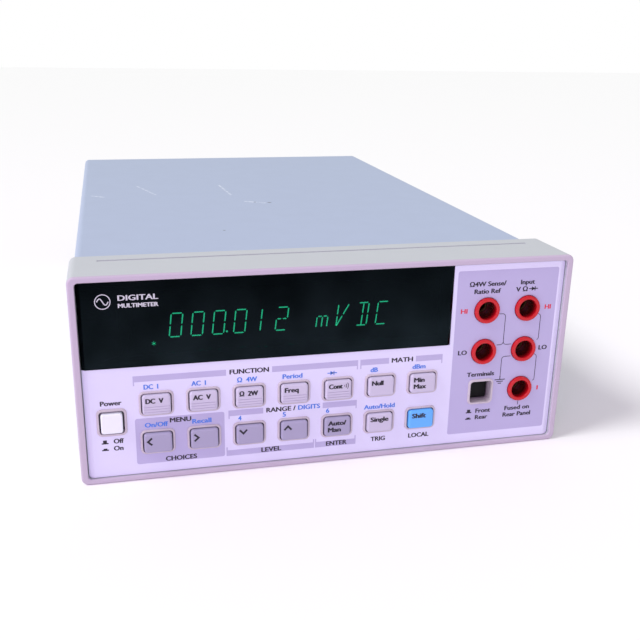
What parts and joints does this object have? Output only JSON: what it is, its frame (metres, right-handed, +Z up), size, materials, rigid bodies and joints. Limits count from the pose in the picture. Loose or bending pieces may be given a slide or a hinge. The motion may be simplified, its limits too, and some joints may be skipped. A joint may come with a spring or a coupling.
{
  "type": "bench multimeter",
  "caption": "Half-rack bench multimeter with a vacuum fluorescent display, push keys, shrouded test jacks, a sheet-metal sleeve and a full rear connector panel.",
  "frame": {"origin": "centre of the underside's bounding box, on the bench surface", "axes": "+Z up, the front panel faces -Y, +X to the right of someone facing the panel"},
  "size_m": [0.2126, 0.3492, 0.0885],
  "materials": {
    "bezel_plastic": "fine moulded texture",
    "panel_plastic": "smooth printed",
    "smoked_window": "polished smoked acrylic",
    "tube_glass": "polished",
    "circuit_board": "solder mask",
    "keypad_rubber": "moulded",
    "key_light": "satin moulded",
    "key_dark": "satin moulded",
    "key_blue": "satin moulded",
    "white_plastic": "satin moulded",
    "black_plastic": "moulded",
    "jack_red": "moulded nylon",
    "contact_brass": "machined",
    "sleeve_paint": "satin paint on sheet metal",
    "screw_steel": "zinc plated",
    "chassis_steel": "zinc-plated sheet",
    "nickel_plate": "nickel plated",
    "connector_shell": "plated shell",
    "core_steel": "varnished laminations",
    "coil_tape": "polyester tape",
    "relay_case": "moulded",
    "package_black": "moulded epoxy",
    "capacitor_sleeve": "shrink sleeve",
    "heat_sink_black": "black anodised",
    "ribbon_grey": "flat cable"
  },
  "bodies": {
    "instrument": {"front_bezel": "bezel_plastic", "front_panel": "panel_plastic", "display_window": "smoked_window", "display_tube": "tube_glass", "display_board": "circuit_board", "main_board": "circuit_board", "keypad_mat": "keypad_rubber", "power_switch": "black_plastic", "selector_switch": "black_plastic", "front_contacts": "contact_brass", "rear_contacts": "contact_brass", "rear_jacks": "jack_red", "cover_sleeve": "sleeve_paint", "cover_screw": "screw_steel", "rear_bezel": "bezel_plastic", "bezel_screws": "screw_steel", "rear_panel": "chassis_steel", "power_inlet": "black_plastic", "fuse_holder": "black_plastic", "trigger_connector": "nickel_plate", "complete_connector": "nickel_plate", "bus_connector": "connector_shell", "serial_connector": "connector_shell", "ground_screw": "screw_steel", "chassis_tray": "chassis_steel", "board_standoffs": "screw_steel", "board_screws": "screw_steel", "transformer_core": "core_steel", "transformer_coil": "coil_tape", "transformer_strap": "chassis_steel", "input_shield": "chassis_steel", "relays": "relay_case", "circuit_packages": "package_black", "supply_capacitors": "capacitor_sleeve", "heat_sink": "heat_sink_black", "ribbon_cable": "ribbon_grey", "front_jack_sense_high": "jack_red", "front_jack_sense_low": "jack_red", "front_jack_input_high": "jack_red", "front_jack_input_low": "jack_red", "front_jack_current": "jack_red"},
    "key_dc_volts": {"key_dc_volts": "key_light"},
    "key_ac_volts": {"key_ac_volts": "key_light"},
    "key_ohms": {"key_ohms": "key_light"},
    "key_frequency": {"key_frequency": "key_light"},
    "key_continuity": {"key_continuity": "key_light"},
    "key_null": {"key_null": "key_light"},
    "key_min_max": {"key_min_max": "key_light"},
    "key_left": {"key_left": "key_dark"},
    "key_right": {"key_right": "key_dark"},
    "key_down": {"key_down": "key_dark"},
    "key_up": {"key_up": "key_dark"},
    "key_auto_manual": {"key_auto_manual": "key_dark"},
    "key_single": {"key_single": "key_light"},
    "key_shift": {"key_shift": "key_blue"},
    "power_button": {"power_button": "white_plastic"},
    "selector_button": {"selector_button": "black_plastic"},
    "fuse_drawer": {"fuse_drawer": "black_plastic"},
    "fuse_carrier": {"fuse_carrier": "black_plastic"},
    "fuse_cap": {"fuse_cap": "black_plastic"}
  },
  "joints": [
    {"name": "key_dc_volts_press", "type": "slide", "parent": "instrument", "child": "key_dc_volts", "axis": [0, 1, 0], "range_m": [0, 0.0012], "stiffness_N_per_m": 800, "springref_m": -0.0005},
    {"name": "key_ac_volts_press", "type": "slide", "parent": "instrument", "child": "key_ac_volts", "axis": [0, 1, 0], "range_m": [0, 0.0012], "stiffness_N_per_m": 800, "springref_m": -0.0005},
    {"name": "key_ohms_press", "type": "slide", "parent": "instrument", "child": "key_ohms", "axis": [0, 1, 0], "range_m": [0, 0.0012], "stiffness_N_per_m": 800, "springref_m": -0.0005},
    {"name": "key_frequency_press", "type": "slide", "parent": "instrument", "child": "key_frequency", "axis": [0, 1, 0], "range_m": [0, 0.0012], "stiffness_N_per_m": 800, "springref_m": -0.0005},
    {"name": "key_continuity_press", "type": "slide", "parent": "instrument", "child": "key_continuity", "axis": [0, 1, 0], "range_m": [0, 0.0012], "stiffness_N_per_m": 800, "springref_m": -0.0005},
    {"name": "key_null_press", "type": "slide", "parent": "instrument", "child": "key_null", "axis": [0, 1, 0], "range_m": [0, 0.0012], "stiffness_N_per_m": 800, "springref_m": -0.0005},
    {"name": "key_min_max_press", "type": "slide", "parent": "instrument", "child": "key_min_max", "axis": [0, 1, 0], "range_m": [0, 0.0012], "stiffness_N_per_m": 800, "springref_m": -0.0005},
    {"name": "key_left_press", "type": "slide", "parent": "instrument", "child": "key_left", "axis": [0, 1, 0], "range_m": [0, 0.0012], "stiffness_N_per_m": 800, "springref_m": -0.0005},
    {"name": "key_right_press", "type": "slide", "parent": "instrument", "child": "key_right", "axis": [0, 1, 0], "range_m": [0, 0.0012], "stiffness_N_per_m": 800, "springref_m": -0.0005},
    {"name": "key_down_press", "type": "slide", "parent": "instrument", "child": "key_down", "axis": [0, 1, 0], "range_m": [0, 0.0012], "stiffness_N_per_m": 800, "springref_m": -0.0005},
    {"name": "key_up_press", "type": "slide", "parent": "instrument", "child": "key_up", "axis": [0, 1, 0], "range_m": [0, 0.0012], "stiffness_N_per_m": 800, "springref_m": -0.0005},
    {"name": "key_auto_manual_press", "type": "slide", "parent": "instrument", "child": "key_auto_manual", "axis": [0, 1, 0], "range_m": [0, 0.0012], "stiffness_N_per_m": 800, "springref_m": -0.0005},
    {"name": "key_single_press", "type": "slide", "parent": "instrument", "child": "key_single", "axis": [0, 1, 0], "range_m": [0, 0.0012], "stiffness_N_per_m": 800, "springref_m": -0.0005},
    {"name": "key_shift_press", "type": "slide", "parent": "instrument", "child": "key_shift", "axis": [0, 1, 0], "range_m": [0, 0.0012], "stiffness_N_per_m": 800, "springref_m": -0.0005},
    {"name": "power_release", "type": "slide", "parent": "instrument", "child": "power_button", "axis": [0, -1, 0], "range_m": [0, 0.0035]},
    {"name": "selector_press", "type": "slide", "parent": "instrument", "child": "selector_button", "axis": [0, 1, 0], "range_m": [0, 0.003]},
    {"name": "fuse_drawer_slide", "type": "slide", "parent": "instrument", "child": "fuse_drawer", "axis": [0, 1, 0], "range_m": [0, 0.014]},
    {"name": "fuse_carrier_slide", "type": "slide", "parent": "instrument", "child": "fuse_carrier", "axis": [0, 1, 0], "range_m": [0, 0.03]},
    {"name": "fuse_cap_turn", "type": "hinge", "parent": "fuse_carrier", "child": "fuse_cap", "pos_m": [0.0435, 0.16635, 0.0269], "axis": [0, 1, 0], "range_deg": [0, 90]}
  ]
}
